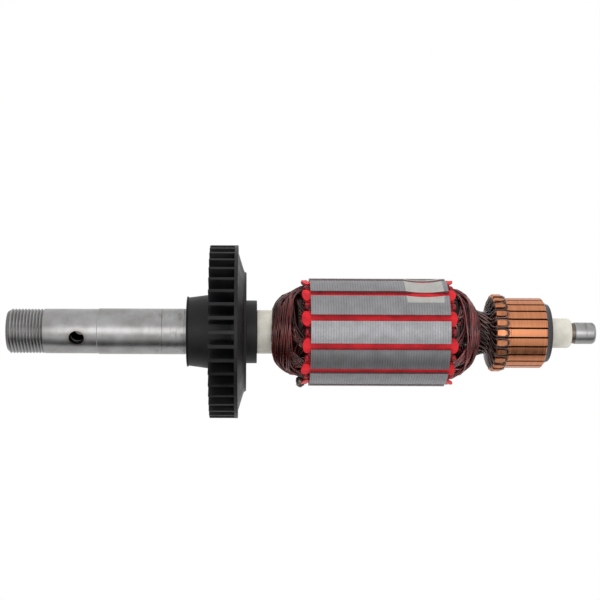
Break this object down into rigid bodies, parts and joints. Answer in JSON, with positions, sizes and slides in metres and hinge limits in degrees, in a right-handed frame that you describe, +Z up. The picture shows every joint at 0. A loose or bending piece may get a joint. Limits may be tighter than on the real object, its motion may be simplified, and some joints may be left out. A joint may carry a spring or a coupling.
{
  "type": "motor armature",
  "caption": "Wound motor armature: threaded hollow spindle, radial cooling fan, slotted core with red wedges, varnished coils and a hooked copper commutator.",
  "frame": {"origin": "centre of the front bearing seat's rear end, on the spindle axis, in the nose-side face of the fan hub", "axes": "X along the spindle, +X from the threaded nose towards the commutator; +Z up as in the picture, which looks along +Y"},
  "size_m": [0.2179, 0.0644, 0.0644],
  "materials": {
    "spindle_steel": "ground",
    "fan_plastic": "moulded",
    "sleeve_plastic": "satin",
    "core_steel": "ground laminations",
    "red_insulation": "varnished",
    "copper_winding": "varnished enamel",
    "bar_copper": "turned",
    "resin": "moulded"
  },
  "bodies": {
    "root": {"coil_01": "copper_winding", "coil_02": "copper_winding", "coil_03": "copper_winding", "coil_04": "copper_winding", "coil_05": "copper_winding", "coil_06": "copper_winding", "coil_07": "copper_winding", "coil_08": "copper_winding", "coil_09": "copper_winding", "coil_10": "copper_winding", "coil_11": "copper_winding", "coil_12": "copper_winding", "commutator_bar_01": "bar_copper", "commutator_bar_02": "bar_copper", "commutator_bar_03": "bar_copper", "commutator_bar_04": "bar_copper", "commutator_bar_05": "bar_copper", "commutator_bar_06": "bar_copper", "commutator_bar_07": "bar_copper", "commutator_bar_08": "bar_copper", "commutator_bar_09": "bar_copper", "commutator_bar_10": "bar_copper", "commutator_bar_11": "bar_copper", "commutator_bar_12": "bar_copper", "commutator_bar_13": "bar_copper", "commutator_bar_14": "bar_copper", "commutator_bar_15": "bar_copper", "commutator_bar_16": "bar_copper", "commutator_bar_17": "bar_copper", "commutator_bar_18": "bar_copper", "commutator_bar_19": "bar_copper", "commutator_bar_20": "bar_copper", "commutator_bar_21": "bar_copper", "commutator_bar_22": "bar_copper", "commutator_bar_23": "bar_copper", "commutator_bar_24": "bar_copper", "commutator_leads": "copper_winding", "commutator_moulding": "resin", "cooling_fan": "fan_plastic", "front_end_insulator": "red_insulation", "front_insulating_sleeve": "sleeve_plastic", "lamination_stack": "core_steel", "rear_end_insulator": "red_insulation", "rear_insulating_collar": "sleeve_plastic", "rear_insulating_sleeve": "sleeve_plastic", "slot_liners": "red_insulation", "slot_wedge_01": "red_insulation", "slot_wedge_02": "red_insulation", "slot_wedge_03": "red_insulation", "slot_wedge_04": "red_insulation", "slot_wedge_05": "red_insulation", "slot_wedge_06": "red_insulation", "slot_wedge_07": "red_insulation", "slot_wedge_08": "red_insulation", "slot_wedge_09": "red_insulation", "slot_wedge_10": "red_insulation", "slot_wedge_11": "red_insulation", "slot_wedge_12": "red_insulation", "spindle_shaft": "spindle_steel"}
  },
  "joints": []
}
